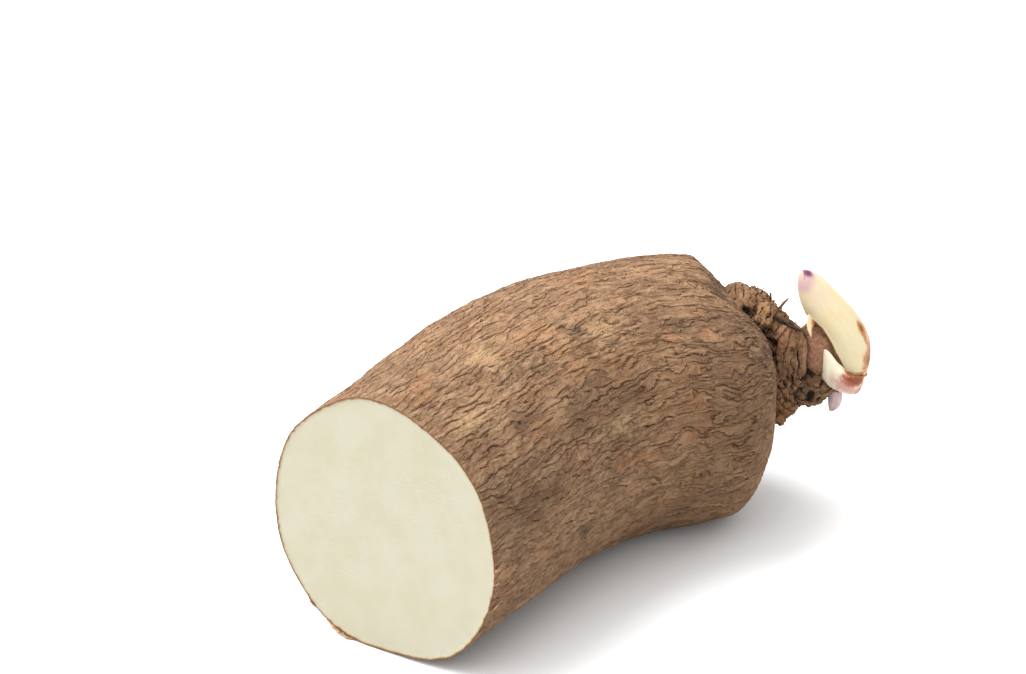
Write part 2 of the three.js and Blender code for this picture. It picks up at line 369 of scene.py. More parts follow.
def bark_pattern(g, place, crinkle):
    """The bark at a place (mm along, and round the section): heights in mm, and masks."""
    bent = shaken(g, place, g.linear(crinkle, 3.0, 3.2), 26, 15, 0.0)
    bent = shaken(g, bent, g.linear(crinkle, 4.6, 2.0), 9, 7, 3.1)
    kinked = shaken(g, bent, 1.25, 3.6, 2.6, 5.3)

    # Wavy cracks between corky plates: each plate rises to its lower lip and overhangs the next.
    gap, down, plate, clear = shingles(g, kinked, 98, g.linear(crinkle, 1.4, 3.0), 15, 5.5, 5.7)
    open_share = g.mul(g.step(g.grain(bent, 9, 4.0, 11.3, 1.5), 0.35, 0.54), clear)
    lower = g.step(down, 0.35, 0.65)
    # Painted shadow: the crack's dark line is wider on the low side below each lip, where the lip's
    # shadow falls.
    wide = g.mul(g.linear(open_share, 0.3, 0.12), g.linear(lower, -0.55, 1.0))
    crack = g.mul(line(g, gap, wide), open_share)
    # Painted highlight: the pale band on each plate's raised lower lip, beside the crack, stands in
    # for light on it.
    lip = g.mul(line(g, gap, 1.0), lower, open_share)

    # Shorter and finer ones.
    fine_gap, fine_down, _, fine_clear = shingles(g, kinked, 180, 3.6, 7, 3.2, 17.9)
    fine_share = g.mul(g.step(g.grain(bent, 5, 2.6, 23.1, 1.0), 0.36, 0.56), fine_clear)
    fine_crack = g.mul(line(g, fine_gap, g.linear(fine_share, 0.2, 0.08)), fine_share)

    # Corky dots, and chips of loose skin.
    dots = g.cells(g.stretch(place, 5.2, 5.2, 31.0))
    chosen = g.step(g.part(dots.outputs["Color"], "X"), 0.8, 0.84)
    dot = g.mul(g.fall(dots.outputs["Distance"], 0.1, 0.22), chosen)
    chip = g.part(g.cells(g.stretch(kinked, 2.8, 1.9, 37.0)).outputs["Color"], "Y")

    lumps = g.waves(place, 34, 17, 41.0)
    knots = g.waves(bent, 9, 6, 46.0)
    grain = g.waves(kinked, 2.8, 1.5, 51.0, 4.0, 0.65)
    crumb = g.waves(place, 0.9, 0.7, 61.0, 3.0, 0.6)

    height = g.weighed(
        (lumps, 2.4), (knots, 1.2), (down, g.linear(open_share, 0.4, 0.12)),
        (fine_down, g.linear(fine_share, 0.16, 0.05)), (crack, -0.45), (fine_crack, -0.2),
        (dot, 0.35), (chip, 0.1), (grain, 0.95),
    )
    return {
        "height": g.add(height, -0.2), "crack": crack, "fine_crack": fine_crack, "lip": lip,
        "chip": chip, "plate": plate, "dot": dot, "crumb": crumb, "grain": grain, "bent": bent,
    }


def pattern_heights(obj, pattern, mask):
    """Evaluates a pattern's height, in mm, at every vertex of a mesh."""
    tree = bpy.data.node_groups.new("heights", "GeometryNodeTree")
    for way in ("INPUT", "OUTPUT"):
        tree.interface.new_socket("Geometry", in_out=way, socket_type="NodeSocketGeometry")
    g = Graph(tree)

    def named(kind, name):
        node = g.node("GeometryNodeInputNamedAttribute", {"data_type": kind}, Name=name)
        return node.outputs["Attribute"]

    start, end = g.node("NodeGroupInput"), g.node("NodeGroupOutput")
    height = pattern(g, named("FLOAT_VECTOR", "unbent"), named("FLOAT", mask))["height"]
    store = g.node(
        "GeometryNodeStoreNamedAttribute", {"data_type": "FLOAT", "domain": "POINT"},
        Geometry=start.outputs["Geometry"], Name="relief", Value=height,
    )
    g.plug(end.inputs["Geometry"], store.outputs["Geometry"])
    modifier = obj.modifiers.new("heights", "NODES")
    modifier.node_group = tree
    evaluated = obj.evaluated_get(bpy.context.evaluated_depsgraph_get())
    attribute = evaluated.data.attributes["relief"]
    heights = np.zeros(len(attribute.data), np.float32)
    attribute.data.foreach_get("value", heights)
    obj.modifiers.remove(modifier)
    bpy.data.node_groups.remove(tree)
    return heights.astype(float)


def new_material(name):
    material = bpy.data.materials.new(name)
    material.use_nodes = True
    tree = material.node_tree
    return material, Graph(tree), tree.nodes["Principled BSDF"].inputs


def finish(g, sockets, base, roughness, specular, height=None, subsurface=None):
    """Plugs a material's colour and bump (in mm), and sets what is the same all over."""
    g.plug(sockets["Base Color"], base)
    g.plug(sockets["Roughness"], roughness)
    sockets["Specular IOR Level"].default_value = specular
    if subsurface:
        sockets["Subsurface Weight"].default_value = subsurface[0]
        sockets["Subsurface Radius"].default_value = subsurface[1]
        sockets["Subsurface Scale"].default_value = 0.003
    if height is not None:
        bump = g.node("ShaderNodeBump", Strength=1.0, Distance=MM, Height=height)
        g.plug(sockets["Normal"], bump.outputs["Normal"])


def attribute(g, name, output="Fac"):
    return g.node("ShaderNodeAttribute", {"attribute_name": name}).outputs[output]


def place_in_mm(g):
    position = g.node("ShaderNodeNewGeometry").outputs["Position"]
    return g.vector("MULTIPLY", position, (1 / MM, 1 / MM, 1 / MM))


def grainy_material(
    name, pale, dark, roughness=0.85, size=1.4, grain=(2.0, 4.0, 0.65), unbent=False
):
    """A skin or fibre that is nothing but grain, between a paler and a darker sRGB."""
    material, g, sockets = new_material(name)
    place = attribute(g, "unbent", "Vector") if unbent else place_in_mm(g)
    grain = g.grain(place, size, size, *grain)
    base = g.mix(g.step(grain, 0.35, 0.65), colour(*dark), colour(*pale))
    finish(g, sockets, base, roughness, 0.12, g.mul(grain, 0.15))
    return material


BARK_SPOTS = {  # each tint's share and sRGB; its spots' mm along, degrees round, and their sizes
    "dark": (0.6, (112, 80, 58), (
        (69, 145, 13, 6), (43, 134, 17, 6), (141, 159, 25, 37), (179, 97, 10, 5),
        (30, 165, 16, 9), (104, 150, 10, 6),
    )),
    "pale": (0.6, (228, 190, 142), (
        (20, 121, 11, 6), (53, 101, 9, 5), (64, 137, 9, 3.5), (112, 118, 7, 5), (92, 158, 10, 4),
    )),
    "ochre": (0.7, (218, 158, 116), (
        (89, 107.5, 5, 4), (83, 128.5, 8, 4), (84, 118, 7, 5), (132, 131, 4.5, 3),
        (150, 121.5, 4, 2.5), (148, 133, 3, 3.5), (118, 205, 6, 5),
    )),
    "moss": (1.0, (84, 78, 58), (
        (96, 108.5, 2.6, 3.2), (99.5, 113.5, 2.6, 2.8), (139, 126.5, 3.5, 2.5),
        (170.5, 108.5, 4.5, 4), (64, 196, 4, 4),
    )),
}
LENTICEL, LENTICEL_RADIUS = (156.8, -29.1, 44.8), 1.9  # a pore with a dark ring, on the bark


def bark_material():
    material, g, sockets = new_material("yam_bark")
    place = attribute(g, "unbent", "Vector")
    crinkle = attribute(g, "crinkle")
    p = bark_pattern(g, place, crinkle)

    # Plates differ in shade; broad patches lean to tan, orange or grey-green.
    tile = g.node("ShaderNodeCombineXYZ", X=g.mul(g.part(p["bent"], "X"), 1 / 9),
                  Y=g.mul(p["plate"], 7.3), Z=0.5)
    tile_shade = g.noise(tile.outputs[0], 1.0)
    shade = g.weighed((tile_shade, 0.5), (g.grain(p["bent"], 13, 5, 71.0, 3.0, 0.6), 0.5))
    tints = []
    for at, along, across, seed, detail, high, share, tint in (
        (place, 45, 28, 81.0, (2.0, 0.5), (0.44, 0.66), 0.6, (132, 99, 75)),  # broad
        (p["bent"], 12, 4.5, 121.0, (3.0, 0.6), (0.54, 0.7), 0.5, (222, 186, 146)),  # pale
        (place, 22, 10, 91.0, (2.5, 0.6), (0.54, 0.74), 0.55, (204, 141, 95)),  # warm
        (p["bent"], 10, 5, 131.0, (3.0, 0.6), (0.54, 0.7), 0.4, (158, 120, 102)),  # mauve
        (place, 15, 8, 101.0, (3.0, 0.6), (0.56, 0.74), 0.45, (140, 115, 86)),  # grey-green
    ):
        patch = g.grain(at, along, across, seed, *detail)
        tints.append((g.step(patch, *high), share, tint))
    patchy = g.step(p["grain"], -0.25, 0.12)
    distance = g.vector("DISTANCE", place, LENTICEL, "Value")
    ring = g.fall(g.math("ABSOLUTE", g.sub(distance, LENTICEL_RADIUS)), 0.15, 0.9)
    tints += [
        (p["chip"], 0.2, (208, 164, 122)),
        (g.step(p["grain"], -0.05, 0.2), 0.45, (222, 184, 146)),
        (g.fall(p["grain"], -0.2, 0.02), 0.4, (112, 80, 56)),
        (p["dot"], 0.4, (206, 170, 130)),
        *((g.mul(attribute(g, spot), patchy), share, tint)
          for spot, (share, tint, _) in BARK_SPOTS.items()),
        (ring, 0.8, (124, 92, 80)),
        # Painted highlight: the crack lips are lightened as if lit.
        (p["lip"], 0.4, (220, 174, 128)),
        # Painted shade: the fine cracks and the cracks are darkened as shade lying in them.
        (p["fine_crack"], 0.45, (112, 70, 40)),
        (p["crack"], 0.62, (98, 56, 28)),
    ]

    # Only what the mesh doesn't already hold goes into the bump.
    rest = g.sub(g.add(p["height"], g.mul(p["crumb"], 0.22)), attribute(g, "relief"))
    base = g.mix(g.step(shade, 0.36, 0.64), colour(154, 113, 80), colour(202, 158, 118))
    rough = g.step(p["grain"], -0.3, 0.3, 0.72, 0.92)
    finish(g, sockets, tinted(g, base, tints), rough, 0.15, rest)
    return material


def flesh_material():
    material, g, sockets = new_material("yam_flesh")
    rim = attribute(g, "rim")
    place = place_in_mm(g)
    mottle = g.grain(place, 16, 16, 0.0, 2.0, 0.6)
    pale, deep = colour(226, 221, 197, CUT_LIT), colour(222, 216, 188, CUT_LIT)
    flesh = g.mix(g.step(mottle, 0.35, 0.7), pale, deep)
    fleck = g.grain(place, 5, 5, 9.0, 4.0, 0.6)
    wobble = g.add(rim, g.mul(g.waves(place, 3, 3, 4.0), 1.1))
    flesh = tinted(g, flesh, (
        (g.step(fleck, 0.5, 0.75), 0.4, (221, 214, 184)),
        (g.fall(wobble, 0.8, 2.0), 0.5, (206, 196, 162)),
        (g.fall(wobble, 0.6, 1.1), 1.0, (176, 134, 88)),
        (g.fall(wobble, 0.2, 0.6), 1.0, (120, 80, 50)),
    ), CUT_LIT)
    cells = g.grain(place, 0.8, 0.8, 2.0, 3.0, 0.6)
    streak = g.noise(g.vector("MULTIPLY", place, (0.1, 0.1, 0.9)), 2.0)
    rest = g.weighed((cells, 0.09), (streak, 0.05))
    finish(g, sockets, flesh, 0.42, 0.2, rest, (0.35, (1.0, 0.8, 0.5)))
    return material


NEAR_ANGLE = radians(160)  # the open side, which has the finest mesh
RING_STEP, NEAR_STEP, FAR_STEP = 1.24, 0.46, 1.1  # mm between rings, and round them


def ring_angles(near_step, far_step):
    """Angles round the section: close together on the open side, wider behind and below."""
    fine = np.linspace(0, 2 * pi, 4001)
    away = np.abs(turn_between(fine, NEAR_ANGLE))
    share = limit((away - radians(92)) / radians(25))
    spacing = near_step + (far_step - near_step) * share * share * (3 - 2 * share)
    steps = MEAN_RADIUS / spacing
    total = np.concatenate(([0], np.cumsum((steps[1:] + steps[:-1]) / 2 * np.diff(fine))))
    count = int(total[-1])
    return np.interp(np.arange(count) / count * total[-1], total, fine)


def ring_stations(step):
    """Stations whose rings lie a step apart along the open side."""
    fine = np.concatenate((np.linspace(0, 1, 400), 1 + np.sin(np.linspace(0, pi / 2, 400)[1:])))
    line = tuber_surface(fine, np.array((NEAR_ANGLE,)))[0][:, 0]
    length = np.concatenate(([0], np.cumsum(np.linalg.norm(np.diff(line, axis=0), axis=1))))
    return np.interp(np.linspace(0, length[-1], int(length[-1] / step)), length, fine)


CUT_SUNK = 0.3  # how far in mm the flesh lies inside the skin's edge


def build_tuber():
    stations = ring_stations(RING_STEP)[:-1]
    angles = ring_angles(NEAR_STEP, FAR_STEP)
    point, outward, reach = tuber_surface(stations, angles)
    rings, count = reach.shape
    lengths = np.linalg.norm(np.diff(point, axis=0), axis=2)
    along = np.concatenate((np.zeros((1, count)), np.cumsum(lengths, axis=0)))
    wrapped = np.concatenate((point[:, -1:], point, point[:, :1]), axis=1)
    step_round = wrapped[:, 2:] - wrapped[:, :-2]
    step_along = np.gradient(point, axis=0)
    normal = np.cross(step_round, step_along)
    normal /= np.linalg.norm(normal, axis=2, keepdims=True) + 1e-9
    normal *= np.sign(np.mean(np.sum(normal * outward, axis=2)))
    fade = limit(np.arange(rings) / 3)[:, None, None]
    normal = unit(normal * fade + outward * (1 - fade))

    thick = MEAN_RADIUS * (0.45 + 0.55 * reach / MEAN_RADIUS)
    unbent = np.stack((along, thick * np.cos(angles), thick * np.sin(angles)), axis=2)
    crinkle = limit((along - 84) / 46) * (0.45 + 0.55 * hump(angles, radians(150), radians(70)))

    # Faces: the skin's grid, the pole under the crown, and the cut face's rings.
    grid = np.arange(rings * count).reshape(rings, count)
    pole = rings * count  # the number of the skin's points, and of the point after them
    faces = ring_quads(grid).tolist() + fan(grid[-1], pole)
    bark_faces = len(faces)
    inner = (0.4, 0.9, 1.5, 2.6, 5.0, 11.0, 22.0, 36.0, 46.0)  # mm in from the rim
    axis = direction(AXIS_IN_PLAN[0, 2])
    middle = np.array((0, 0, CUT_RADIUS - RESTING_SINK)) + SHIFT
    cut_rings = np.arange(pole + 1, pole + 1 + len(inner) * count).reshape(-1, count)
    centre = pole + 1 + len(inner) * count
    faces += ring_quads(np.vstack((grid[0], cut_rings)), -1).tolist()
    faces += fan(cut_rings[-1], centre, -1)
    end = tuber_surface(np.array([2.0]), np.array([0.0]))[0][0]
    flat = np.zeros((len(inner) * count, 3))
    points = np.concatenate((point.reshape(-1, 3), end, flat, [middle]))

    slots = np.arange(len(faces)) >= bark_faces
    tuber = make_mesh("yam_tuber", points, faces, (bark_material(), flesh_material()), slots)
    whole = len(points)
    place = np.zeros((whole, 3))
    place[:pole] = unbent.reshape(-1, 3)
    place[pole] = unbent[-1].mean(axis=0)
    set_attribute(tuber, "unbent", place, "FLOAT_VECTOR")

    def set_on_skin(name, values):
        set_attribute(tuber, name, np.concatenate((values.ravel(), np.zeros(whole - pole))))

    set_on_skin("crinkle", crinkle)
    for name, (_, _, spots) in BARK_SPOTS.items():
        shares = sum(
            hump(along, at, size) * hump(angles, radians(turn), radians(spread))
            for at, turn, size, spread in spots
        )
        set_on_skin(name, np.minimum(shares, 1))
    height = pattern_heights(tuber, bark_pattern, "crinkle")[:pole].reshape(rings, count)

    resting = limit((point[..., 2] - 0.05) / 3)
    height = height * (0.25 + 0.75 * resting) * (0.35 + 0.65 * limit(along / 9))
    moved = point + normal * height[..., None]
    moved[..., 2] = np.maximum(moved[..., 2], 0)
    points[:pole] = moved.reshape(-1, 3)
    for ring, depth in zip(cut_rings, inner):
        sunk = CUT_SUNK * min(max((depth - 0.6) / 0.8, 0), 1)
        points[ring] = middle + (moved[0] - middle) * (1 - depth / CUT_RADIUS) + axis * sunk
    points[centre] = middle + axis * CUT_SUNK
    move_points(tuber, points)
    set_on_skin("relief", height)
    depths = np.zeros(whole)
    depths[pole + 1 : centre] = np.repeat(inner, count)
    depths[centre] = CUT_RADIUS
    set_attribute(tuber, "rim", depths)
    return tuber



# ---------- tubes ----------

def ringed(centre, tangent, side, angle, wide, high, rise):
    """A closed skin of rings round a line: how wide and high each point reaches, and its rise."""
    tangent = unit(tangent)
    across = unit(side - tangent * (tangent @ side)[:, None])
    other = np.cross(tangent, across)
    grid = (
        centre[:, None]
        + across[:, None] * (wide * np.cos(angle))[..., None]
        + other[:, None] * (high * np.sin(angle))[..., None]
        + tangent[:, None] * rise[..., None]
    )
    ends = (grid[0].mean(axis=0)[None], grid[-1].mean(axis=0)[None])
    rings, segments = angle.shape
    index = np.arange(rings * segments).reshape(rings, segments)
    foot, tip = rings * segments, rings * segments + 1
    faces = ring_quads(index).tolist() + fan(index[0], foot, -1) + fan(index[-1], tip)
    return np.concatenate((grid.reshape(-1, 3), *ends)), faces


def tube(points, profile, rings, segments, side=ACROSS, flat=1.0, shape=None):
    """A closed tube round a smooth curve. profile holds (station, radius) pairs, and shape(station,
    angle) gives extra reach across and along. The angle starts at the side direction."""
    station = np.linspace(0, 1, rings)
    centre = catmull(points, station)
    tangent = np.gradient(centre, axis=0)
    at, size = np.array(profile, float).T
    radius = np.interp(station, at, size)[:, None]
    angle = np.arange(segments) / segments * 2 * pi
    s, a = np.meshgrid(station, angle, indexing="ij")
    added, rise = shape(s, a) if shape else (0 * s, 0 * s)
    points, faces = ringed(centre, tangent, side, a, radius * flat + added, radius + added, rise)
    params = np.stack((np.append(s.ravel(), (0, 1)), np.append(a.ravel(), (0, 0))))
    return points, faces, params


def scaled(radius, profile, point=0.03):
    """A profile given in shares of a radius, down to a fine point."""
    return [(at, share * radius) for at, share in profile] + [(1, point)]


def smooth_profile(pairs):
    """The profile's pairs joined by a smooth curve instead of straight lines."""
    return catmull(np.array(pairs, float), np.linspace(0, 1, 60))


def join(parts):
    """Joins (points, faces) parts into one."""
    points, faces, base = [], [], 0
    for part_points, part_faces in parts:
        points.append(part_points)
        faces += [tuple(base + i for i in face) for face in part_faces]
        base += len(part_points)
    return np.concatenate(points), faces


def ellipsoid(centre, radii, axes, seed=1.0, bumps=0.05, detail=26):
    """A knobbly ellipsoid, as in the source, with its radii along these three axes."""
    v = np.linspace(0, pi, detail // 2 + 1)[1:-1]
    u = np.arange(detail) / detail * 2 * pi
    v, u = np.meshgrid(v, u, indexing="ij")
    d = np.stack((np.sin(v) * np.cos(u), np.sin(v) * np.sin(u), np.cos(v)), axis=-1)
    rows, count = v.shape
    d = np.concatenate((d.reshape(-1, 3), ((0, 0, 1), (0, 0, -1))))
    waves = (
        np.sin(5 * d[:, 0] + 3 * d[:, 1] + seed)
        + np.sin(6 * d[:, 1] - 4 * d[:, 2] + 2.1 * seed)
        + np.sin(7 * d[:, 2] + 5 * d[:, 0] + 1.3 * seed)
    )
    local = d * radii * (1 + bumps * waves)[:, None]
    points = centre + local @ np.array(axes)
    index = np.arange(rows * count).reshape(rows, count)
    top, foot = rows * count, rows * count + 1
    faces = ring_quads(index, -1).tolist() + fan(index[0], top) + fan(index[-1], foot, -1)
    return points, faces


# ---------- crown ----------
CROWN_AXES = (OUT, ACROSS, UP)
CROWN_LOBES = [  # place (out, across, height), radii (out, across, up), seed, bumps
    ((-4, 1, 61), (12, 21, 21), 1.0, 0.05),
    ((10, 1, 51.2), (14, 12.5, 7.8), 2.4, 0.05),
    ((-2, -8, 48.6), (8.8, 11, 8.2), 3.9, 0.05),
    ((3.5, 0, 65), (9, 13, 13.5), 0.3, 0.05),
    ((16.5, 2.2, 66.5), (10.5, 8, 12.5), 4.1, 0.01),
    ((0, -11, 77.5), (5, 5.5, 4.5), 5.7, 0.05),
    ((-3, -2, 80.5), (6.5, 13, 5.5), 3.3, 0.05),
    ((-9.5, -2, 86.5), (7.5, 14, 6), 0.7, 0.05),
    ((-16.5, -2, 90.5), (7, 14, 5.5), 1.9, 0.05),
]
COLLARS = [  # the ragged rings of old scales round the neck: out, height of the middle, radius
    (-1.2, 62.5, 18.2), (2.0, 63.0, 16.4), (4.8, 64.0, 14.9), (7.2, 64.5, 13.2),
]
# Each pit is also darkened in the crown's colour, as painted shade inside it.
PITS = [  # hollows: place, radius, depth
    ((12.0, -11.8, 51.0), 2.4, 3.6), ((16.5, -9.5, 48.5), 1.7, 2.6),
    ((6.5, -12.0, 54.5), 1.5, 2.2), ((-13.5, -14.5, 90.5), 1.9, 2.8),
    ((-17.0, -14.0, 91.5), 1.7, 2.4), ((-3.5, -14.0, 77.0), 1.6, 2.4),
    ((-5.0, -16.0, 73.0), 1.8, 2.6), ((-2.0, -17.5, 62.5), 1.7, 2.4),
    ((1.5, -14.5, 55.0), 1.3, 1.6), ((6.0, 13.5, 65.0), 1.8, 2.0), ((-2.0, 8.0, 83.5), 1.6, 1.8),
    ((3.0, 9.0, 78.0), 1.5, 1.8), ((-8.0, 8.0, 90.0), 1.5, 1.8),
]
DOME_MIDDLE = (15.0, -8.0, 68.0)
DOME_DARK, DOME_PALE = (176, 124, 94), (220, 168, 132)
CROWN_ZONES = {  # each tint's place and size, its share and its sRGB
    "ridge": ((-11, -8, 88), (10, 12, 6), 0.95, (230, 176, 126)),
    "foot": ((-1, -14, 47), (7, 9, 8), 0.8, (204, 142, 88)),
    "lump": ((0.5, -12, 77), (5, 5.5, 4.6), 1.0, (226, 164, 122)),
    "lip": ((12, -8, 51), (9, 9, 5), 0.75, (150, 120, 96)),
    "olive": ((19, -10, 51), (2.2, 3.5, 2.2), 0.7, (206, 158, 92)),
}


def from_crown(points):
    """Places as (out, across, height) from the crown's seat: by_crown the other way round."""
    moved = points - SHIFT - CROWN_SEAT * (1, 1, 0)
    return np.stack((moved @ OUT, moved @ ACROSS, moved[:, 2]), axis=1)


def gauss(places, centre, size):
    return np.exp(-np.sum(((places - centre) / size) ** 2, axis=1))


def dome_share(places):
    """How far a place on the crown belongs to its smooth reddish dome."""
    return limit(2.6 * gauss(places, DOME_MIDDLE, (9.8, 12.0, 13.0)) - 0.9)


SHELLS_PER_MM = 0.36


def crown_pattern(g, place, smooth):
    """The crown's rough skin at a place (mm from the dome's middle): heights in mm, and masks."""
    rough = g.sub(1.0, smooth)
    bent = shaken(g, place, 4.5, 8, 8, 7.0)
    bent = shaken(g, bent, 1.6, 2.6, 2.6, 7.9)

    # Old scales lap round the dome like the skins of a bulb; their free edges face it.
    from_middle = g.vector("MULTIPLY", bent, (1.0, 0.7, 0.85))
    shells = g.mul(g.vector("LENGTH", from_middle, output="Value"), SHELLS_PER_MM)
    lap = g.sub(1.0, g.math("FRACT", shells))
    edge = g.mul(g.math("PINGPONG", shells, 0.5), 1 / SHELLS_PER_MM)
    lapped = g.step(g.grain(place, 6, 6, 13.0, 1.0), 0.4, 0.55)

    gap, clear = level_lines(g, bent, 5.5, 5.5, 2.6, 1.0)
    share = g.mul(clear, g.step(g.grain(bent, 5, 5, 9.0, 1.0), 0.44, 0.6))
    crease = g.math("MAXIMUM", g.mul(line(g, gap, 0.4), share), g.mul(line(g, edge, 0.3), lapped))
    plate = g.step(gap, -0.4, 1.3)
    lump = g.waves(bent, 9, 9, 3.0, 1.5)
    knot = g.waves(bent, 3.2, 3.2, 5.0)
    grain = g.waves(place, 1.1, 1.1, 5.0, 4.0, 0.65)
    scaly = g.weighed(
        (lump, 2.6), (knot, 1.5), (plate, 0.35), (g.mul(lap, lapped), 0.55),
        (crease, -0.6), (grain, 1.0),
    )
    stippled = g.weighed((grain, 0.22), (knot, 0.25))
    height = g.weighed((rough, g.add(scaly, -0.4)), (smooth, stippled))
    return {"height": height, "crease": crease, "plate": plate, "grain": grain}


def crown_material():
    material, g, sockets = new_material("crown_bark")
    place = attribute(g, "unbent", "Vector")
    smooth = attribute(g, "smooth")
    p = crown_pattern(g, place, smooth)
    tone = g.grain(place, 4, 4, 21.0, 3.0, 0.6)
    base = g.mix(g.step(tone, 0.3, 0.7), colour(130, 95, 68), colour(184, 140, 103))
    base = tinted(g, base, (
        *((attribute(g, zone), share, tint) for zone, (_, _, share, tint) in CROWN_ZONES.items()),
        (g.step(p["grain"], 0.0, 0.2), 0.6, (216, 168, 122)),
        (g.fall(p["grain"], -0.25, 0.0), 0.4, (88, 58, 36)),
        # Painted shade: the low side of each plate, by the crease lines, is darkened where shade
        # falls.
        (g.fall(p["plate"], 0.0, 0.6), 0.3, (78, 50, 32)),
    ))
    stipple = g.step(p["grain"], -0.15, 0.2)
    base = g.mix(smooth, base, g.mix(stipple, colour(*DOME_DARK), colour(*DOME_PALE)))
    base = tinted(g, base, (
        # Painted shade: the creases on the rough parts are darkened as shade lying in them.
        (g.mul(p["crease"], g.linear(smooth, -1.0, 1.0)), 0.6, (56, 36, 22)),
        # Painted shade: concave places are darkened as if in shade.
        (attribute(g, "cavity_shade"), 0.85, (44, 27, 15)),
        # Painted shade: the pits are darkened almost to black, as shade inside them.
        (attribute(g, "pit_shade"), 1.0, (30, 19, 12)),
    ))
    rest = g.sub(p["height"], attribute(g, "relief"))
    finish(g, sockets, base, g.linear(smooth, -0.3, 0.9), 0.15, rest)
    return material


def remeshed(name, points, faces, size):
    """One closed skin round overlapping solids, as (points, normals, faces)."""
    rough = make_mesh(name, points, faces)
    modifier = rough.modifiers.new("skin", "REMESH")
    modifier.mode = "VOXEL"
    modifier.voxel_size = size * MM
    smooth = rough.modifiers.new("smooth", "SMOOTH")
    smooth.iterations = 2
    mesh = rough.evaluated_get(bpy.context.evaluated_depsgraph_get()).data
    out, normals = vertex_values(mesh, "co") / MM, vertex_values(mesh, "normal")
    skin = [tuple(p.vertices) for p in mesh.polygons]
    bpy.data.objects.remove(rough)
    return out, normals, skin


def vertex_values(mesh, name):
    values = np.zeros(len(mesh.vertices) * 3, np.float32)
    mesh.vertices.foreach_get(name, values)
    return values.reshape(-1, 3).astype(float)


def cavities(mesh, rounds):
    """How deep in mm each vertex lies below the skin smoothed by this many rounds."""
    ends = np.zeros(len(mesh.edges) * 2, np.int32)
    mesh.edges.foreach_get("vertices", ends)
    one, two = ends.reshape(-1, 2).T
    start, end = np.concatenate((one, two)), np.concatenate((two, one))
    count = np.bincount(start, minlength=len(mesh.vertices))
    points = vertex_values(mesh, "co") / MM
    smooth = points
    for _ in range(rounds):
        total = [np.bincount(start, smooth[end, axis], len(points)) for axis in range(3)]
        smooth = np.stack(total, axis=1) / count[:, None]
    return np.sum((smooth - points) * vertex_values(mesh, "normal"), axis=1)


def loose_scales(points, normals):
    """Chips of old bark that stand up from the crown's rough parts."""
    rng = np.random.default_rng(5)
    places = from_crown(points)
    out = places[:, 0]
    free = (dome_share(places) < 0.1) & (normals @ OUT > -0.3) & (out > -14) & (out < 12.5)
    chips = []
    for i in rng.choice(np.flatnonzero(free), 130, replace=False):
        normal = unit(normals[i] + 0.35 * rng.normal(size=3))
        side = unit(np.cross(normal, rng.normal(size=3)))
        size = rng.uniform(1.1, 2.7)
        radii = (size, size * rng.uniform(0.5, 0.9), rng.uniform(0.5, 1.0))
        axes = (side, np.cross(normal, side), normal)
        middle = points[i] - 0.1 * normals[i]
        chips.append(ellipsoid(middle, radii, axes, rng.uniform(0, 6), 0.12, 12))
    return chips


LOBE_VOXEL, SCALE_VOXEL = 0.9, 0.42  # mm, of the crown without and with its loose scales


def build_crown():
    parts = [
        ellipsoid(by_crown(*at), radii, CROWN_AXES, seed, bumps)
        for at, radii, seed, bumps in CROWN_LOBES
    ]
    for i, (out, height, radius) in enumerate(COLLARS):
        radii = (1.2, radius, 0.96 * radius)
        parts.append(ellipsoid(by_crown(out, 0, height), radii, CROWN_AXES, 1.7 * i, 0.05, 48))
    rough_points, rough_normals, _ = remeshed("crown_lobes", *join(parts), LOBE_VOXEL)
    points, faces = join(parts + loose_scales(rough_points, rough_normals))
    points, normals, faces = remeshed("crown_rough", points, faces, SCALE_VOXEL)
    crown = make_mesh("yam_crown", points, faces, (crown_material(),))
    places = from_crown(points)
    set_attribute(crown, "unbent", places - DOME_MIDDLE, "FLOAT_VECTOR")
    set_attribute(crown, "smooth", dome_share(places))
    for zone, (middle, size, _, _) in CROWN_ZONES.items():
        set_attribute(crown, zone, gauss(places, middle, size))
    height = pattern_heights(crown, crown_pattern, "smooth")
    # Painted shade: each pit's mask darkens its colour as if shade fell in it.
    pit_shade = np.zeros(len(points))
    for at, size, depth in PITS:
        near = gauss(places, at, size)
        height -= depth * near
        pit_shade = np.maximum(pit_shade, near)
    set_attribute(crown, "pit_shade", limit(1.6 * pit_shade - 0.4))
    set_attribute(crown, "relief", height)
    points = points + normals * height[:, None]
    move_points(crown, points)
    # Painted shade: how concave each place is, kept to darken it as shade.
    set_attribute(crown, "cavity_shade", limit(cavities(crown.data, 24) / 0.42))
    return crown


HAIRY_PLACES = (  # how thick the hair stands on the crown: share, place, size
    (1.0, (-10, -12, 88), (9, 9, 6)), (1.0, (-2, -14, 76), (6, 6, 7)),
    (0.35, (2, -12, 52), (10, 8, 8)), (0.15, (0, 12, 66), (9, 9, 20)),
)


